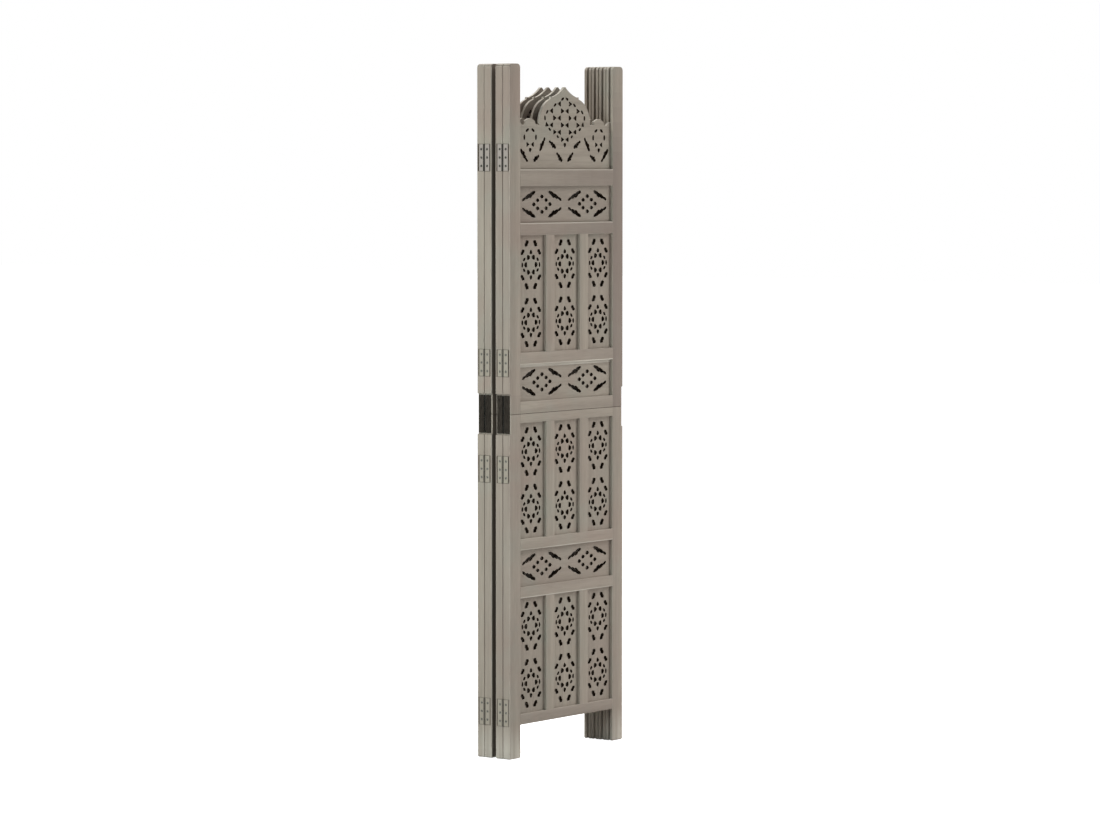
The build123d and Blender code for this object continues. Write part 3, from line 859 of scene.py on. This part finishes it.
for panel in PANELS:
    for kind, material in (("column", UPRIGHT_WOOD), ("frieze", CROSS_WOOD), ("crown", CROSS_WOOD)):
        node = f"panel_{panel}_{kind}_board" + ("" if kind == "crown" else "s")
        boards = marked(bmesh.new())
        for low, high in boxes_of(node, panel):
            size = high - low
            set_in(boards, board_of(kind, size.x, size.z, size.y), low, high, kind == "crown")
        toned(boards, panel + 1, 0.1 if kind == "crown" else 0.35)
        # The front faces of the crowns behind the first are painted darker: painted shade, as each crown shades the
        # one behind it.
        if kind == "crown" and panel > 1:
            marked_shade_and_dirt(boards, lambda face, middle: 0.32 if face.normal.y < -0.9 else None)
        # The top band of one frieze board, under the rail above it, is painted pale: a painted highlight where the
        # rail's shade would fall.
        if kind == "frieze":
            scored(boards, 2, HIGHLIGHT_BOARD_TOP_MM)
            arris = boards.faces.layers.float["arris"]
            for face in boards.faces:
                up = face.calc_center_median().z - HIGHLIGHT_BOARD_TOP_MM
                if 0 < up < 14 and abs(face.normal.y) > 0.9:
                    face[arris] = 1.0
        put_up(boards, node + "_carved", panel, f"panel_{panel}", [node], material)
print("set", len(cut_boards), "kinds of board in", len(PANELS), "panels")

# %% [markdown]
# A screw is a short head in a countersink. One head is made flat on the bench: a disc, its
# edge eased, cut twice by parallel planes, with the strip between them pushed in for the slot.

# %% Make one screw head
def screw_head(radius, slot_turn):
    """A slotted head lying on the drawing board, its top at zero."""
    head = marked(bmesh.new())
    bmesh.ops.create_cone(
        head, cap_ends=True, segments=14, radius1=radius * 0.72, radius2=radius, depth=1.2
    )
    bmesh.ops.translate(head, vec=(0, 0, -0.6), verts=head.verts[:])
    for side in (-1, 1):
        bmesh.ops.bisect_plane(
            head, geom=head.verts[:] + head.edges[:] + head.faces[:],
            plane_co=(0, side * 0.45, 0), plane_no=(0, 1, 0),
        )
    strip = [f for f in head.faces if f.normal.z > 0.9 and abs(f.calc_center_median().y) < 0.4]
    made = bmesh.ops.extrude_face_region(head, geom=strip)
    sunk = [item for item in made["geom"] if isinstance(item, bmesh.types.BMVert)]
    bmesh.ops.translate(head, vec=(0, 0, -0.6), verts=sunk)
    bmesh.ops.delete(head, geom=strip, context="FACES_ONLY")
    # The slot's walls and floor are marked dark: painted shade in the slot.
    cut = head.faces.layers.float["cut"]
    for face in {face for vert in sunk for face in vert.link_faces}:
        face[cut] = 1.0
    bmesh.ops.rotate(head, matrix=Matrix.Rotation(slot_turn, 3, "Z"), verts=head.verts[:])
    mesh = bpy.data.meshes.new("screw_head")
    head.to_mesh(mesh)
    head.free()
    return mesh


SCREW_TURNS = [screw_head(3.4, math.radians(turn)) for turn in (8, 52, 97, 140)]
print("one screw head has", len(SCREW_TURNS[0].polygons), "faces")

# %% [markdown]
# A hinge leaf is a steel strip, let into the edge of the stile until it is flush. It is drawn
# and sawn like a board, and easing the screw holes widely makes their countersinks. Its tabs
# roll into knuckles: three on the front leaf and two between them on the rear leaf, round one
# pin. The knuckles ride with their own leaf, so they turn against each other as the screen folds.

# %% Make and hang the hinges
SCREW_PITCH_MM = 22.0
KNUCKLES = 5
KNUCKLE_GAP_MM = 0.3
PIN_RADIUS_MM = 1.2
TOP_HINGE_MM = 1500.0


def steel_leaf(width, length, thickness):
    """A leaf with three countersunk holes, lying on the drawing board about zero."""
    drawing = new_drawing()
    rectangle(drawing, width, length)
    for step in (-1, 0, 1):
        ring(drawing, spokes(*(1.0,) * 12), (0, step * SCREW_PITCH_MM), (6.2, 6.2))
    return sawn(drawing, thickness, rim=0.75)


def turned(piece, radius, low, high, centre, segments=14, chamfer=0.35):
    """A round bar upright on the bench, with its ends chamfered."""
    place = Matrix.Translation((centre[0], centre[1], (low + high) / 2))
    bar = bmesh.ops.create_cone(
        piece, cap_ends=True, segments=segments, radius1=radius, radius2=radius,
        depth=high - low, matrix=place,
    )["verts"]
    rims = {
        edge for vert in bar for edge in vert.link_edges
        if abs(edge.verts[0].co.z - edge.verts[1].co.z) < 0.001
    }
    cut = piece.faces.layers.float["cut"]
    barrel = {face for vert in bar for face in vert.link_faces}
    # The knuckles and pin are coloured dark: dark steel together with painted shade in the barrel's gaps, darker on
    # the top hinges.
    steel_and_shade_dark = 0.93 if high > TOP_HINGE_MM else 0.7
    for face in barrel:
        face[cut] = steel_and_shade_dark
    for face in eased(piece, list(rims), chamfer, segments=1, wear_and_highlight_share=0.0):
        face[cut] = 1.0


leaf_mesh = None
for joint, (front_panel, rear_panel) in enumerate(((1, 2), (2, 3), (3, 4)), start=1):
    pins_node = f"hinge_{joint}_pins"
    pins = marked(bmesh.new())
    rear_knuckles = {}
    for low, high in boxes_of(pins_node, front_panel):
        centre = (low + high) / 2
        radius = (high.x - low.x) / 2
        pitch = (high.z - low.z) / KNUCKLES
        turned(pins, PIN_RADIUS_MM, low.z - 0.4, high.z + 0.4, centre)
        for number in range(0, KNUCKLES, 2):
            start = low.z + number * pitch + KNUCKLE_GAP_MM / 2
            turned(pins, radius, start, start + pitch - KNUCKLE_GAP_MM, centre)
    toned(pins, joint)
    put_up(pins, pins_node + "_turned", front_panel, f"panel_{front_panel}", [pins_node], HINGE_STEEL)
    for half, panel in (("front", front_panel), ("rear", rear_panel)):
        node = f"hinge_{joint}_{half}_leaves"
        leaves, screws = marked(bmesh.new()), marked(bmesh.new())
        boxes = boxes_of(node, panel)
        on_left = boxes[0][0].x < 100
        face_x = boxes[0][0].x if on_left else boxes[0][1].x
        turn = Matrix.Rotation(math.radians(-90 if on_left else 90), 4, "Z") @ LIE_TO_STAND
        for number, (low, high) in enumerate(boxes):
            middle = (low + high) / 2
            leaf_mesh = leaf_mesh or steel_leaf(high.y - low.y, high.z - low.z, high.x - low.x)
            at = Matrix.Translation((face_x, middle.y, middle.z)) @ turn
            before = len(leaves.verts)
            leaves.from_mesh(leaf_mesh)
            leaves.verts.ensure_lookup_table()
            bmesh.ops.transform(leaves, matrix=at, verts=leaves.verts[before:])
            for step in (-1, 0, 1):
                before = len(screws.verts)
                screws.from_mesh(SCREW_TURNS[(number + step + joint) % len(SCREW_TURNS)])
                screws.verts.ensure_lookup_table()
                sunk = at @ Matrix.Translation((0, step * SCREW_PITCH_MM, -0.15))
                bmesh.ops.transform(screws, matrix=sunk, verts=screws.verts[before:])
        if half == "rear":
            carry = STANDING[panel].inverted() @ STANDING[front_panel]
            for low, high in boxes_of(pins_node, front_panel):
                centre = carry @ ((low + high) / 2)
                pitch = (high.z - low.z) / KNUCKLES
                for count in range(1, KNUCKLES, 2):
                    start = low.z + count * pitch + KNUCKLE_GAP_MM / 2
                    turned(leaves, (high.x - low.x) / 2, start, start + pitch - KNUCKLE_GAP_MM, centre)
        for part, when_high, when_low in ((leaves, 0.9, 0.15), (screws, 0.1, 1.0)):
            tone = part.faces.layers.float["tone"]
            for face in part.faces:
                face[tone] = when_high if face.calc_center_median().z > TOP_HINGE_MM else when_low
        put_up(leaves, node + "_steel", panel, f"panel_{panel}", [node], HINGE_STEEL)
        put_up(screws, node + "_screws", panel, f"panel_{panel}", [], SCREW_STEEL)
print("hung three joints of four hinges")

# %% [markdown]
# Each panel is two frames, one on the other. A flat steel plate across the seam, sunk in the
# outer edge of the stiles, ties them together with four screws.

# %% Fit the joining plates
PLATE_WIDTH_MM = 16.0
for panel in PANELS:
    node = f"panel_{panel}_joining_plates"
    plates, screws = marked(taken_down(node, panel)), marked(bmesh.new())
    for verts in solids_of(plates):
        low, high = box_of(verts)
        middle = Matrix.Translation((low + high) / 2)
        narrower = (1, PLATE_WIDTH_MM / (high.y - low.y), 1)
        bmesh.ops.scale(plates, vec=narrower, space=middle.inverted(), verts=verts)
    eased(plates, [edge for edge in plates.edges if outward(edge)], 0.5)
    for low, high in boxes_of(node, panel):
        on_left = low.x < 100
        middle = (low + high) / 2
        turn = Matrix.Rotation(math.radians(-90 if on_left else 90), 4, "Z") @ LIE_TO_STAND
        face = Matrix.Translation((low.x if on_left else high.x, middle.y, middle.z)) @ turn
        for number, up in enumerate((-38, -16, 16, 38)):
            before = len(screws.verts)
            screws.from_mesh(SCREW_TURNS[number])
            screws.verts.ensure_lookup_table()
            proud = face @ Matrix.Translation((0, up, 0.3))
            bmesh.ops.transform(screws, matrix=proud, verts=screws.verts[before:])
    toned(plates, panel)
    put_up(plates, node + "_eased", panel, f"panel_{panel}", [node], PLATE_BLACK)
    put_up(screws, node + "_screws", panel, f"panel_{panel}", [], PLATE_BLACK)
print("fitted the joining plates")

# %% [markdown]
# The screen stands on a plain pale floor under soft light, as in a studio. One large lamp
# lights the front from the right and above, and another the folded edges from the left. The
# walls of the openings face left too, but the boards shade them from that lamp, so they stay
# dark, which is what makes the frame look deep. The finishes add painted shade as well, on the
# mullions' walls, in recesses and fold gaps and on the crowns behind the first.

# %% Light the studio
def soft_lamp(name, place, target, size, watts, colour=(1, 1, 1)):
    """A square lamp that faces a point."""
    data = bpy.data.lights.new(name, "AREA")
    data.shape = "SQUARE"
    data.size = size
    data.energy = watts
    data.color = colour
    lamp = bpy.data.objects.new(name, data)
    lamp.location = place
    lamp.rotation_mode = "QUATERNION"
    lamp.rotation_quaternion = (Vector(target) - Vector(place)).to_track_quat("-Z", "Y")
    bpy.context.scene.collection.objects.link(lamp)
    return lamp


soft_lamp("front_lamp", (1.7, -1.9, 0.7), (0, 0, 0.65), 1.2, 22.5)
soft_lamp("high_lamp", (5.5, -3.8, 7.5), (0, 0, 0.9), 6.0, 840)
soft_lamp("edge_lamp", (-2.45, -0.5, 1.2), (0, 0, 1.0), 0.9, 32.8, (0.84, 0.97, 1.0))
soft_lamp("rim_lamp", (-6.0, 1.0, 6.5), (0, 0, 0.9), 1.6, 340)
soft_lamp("back_lamp", (1.8, 4.5, 3.0), (0, 0, 0.9), 2.4, 420)


def brighter_to_camera(tree, low, high):
    """A strength that is low for the light that things receive and high for what is seen."""
    ray = tree.nodes.new("ShaderNodeLightPath")
    return add(tree, "MapRange", {"Value": ray.outputs["Is Camera Ray"], "To Min": low, "To Max": high}).outputs[0]


world = bpy.data.worlds.new("studio")
bpy.context.scene.world = world
world.use_nodes = True
sky = world.node_tree.nodes["Background"]
sky.inputs["Color"].default_value = (1.0, 1.0, 1.0, 1.0)
world.node_tree.links.new(brighter_to_camera(world.node_tree, 0.165, 1.0), sky.inputs["Strength"])
bpy.context.scene.view_settings.view_transform = "Standard"

floor_sheet = bmesh.new()
bmesh.ops.create_grid(floor_sheet, x_segments=1, y_segments=1, size=40.0)
bmesh.ops.translate(floor_sheet, vec=(0, 0, -0.0003), verts=floor_sheet.verts[:])
floor_mesh = bpy.data.meshes.new("floor")
floor_sheet.to_mesh(floor_mesh)
floor_sheet.free()
floor = bpy.data.objects.new("floor", floor_mesh)
bpy.context.scene.collection.objects.link(floor)
pale, pale_tree, pale_shader = painted("pale_floor", (0.5, 0.5, 0.5, 1.0), 0.9)
floor_place = add(pale_tree, "TexCoord").outputs["Object"]
away = add(pale_tree, "VectorMath", {0: floor_place}, operation="LENGTH").outputs["Value"]
glow = mixed(pale_tree, stretched(pale_tree, away, 0.6, 3.0), (0.9, 0.9, 0.9, 1.0), (1.0, 1.0, 1.0, 1.0))
pale_tree.links.new(glow, pale_shader.inputs["Emission Color"])
pale_tree.links.new(brighter_to_camera(pale_tree, 0.0, 1.0), pale_shader.inputs["Emission Strength"])
floor_mesh.materials.append(pale)
print("lit the studio")
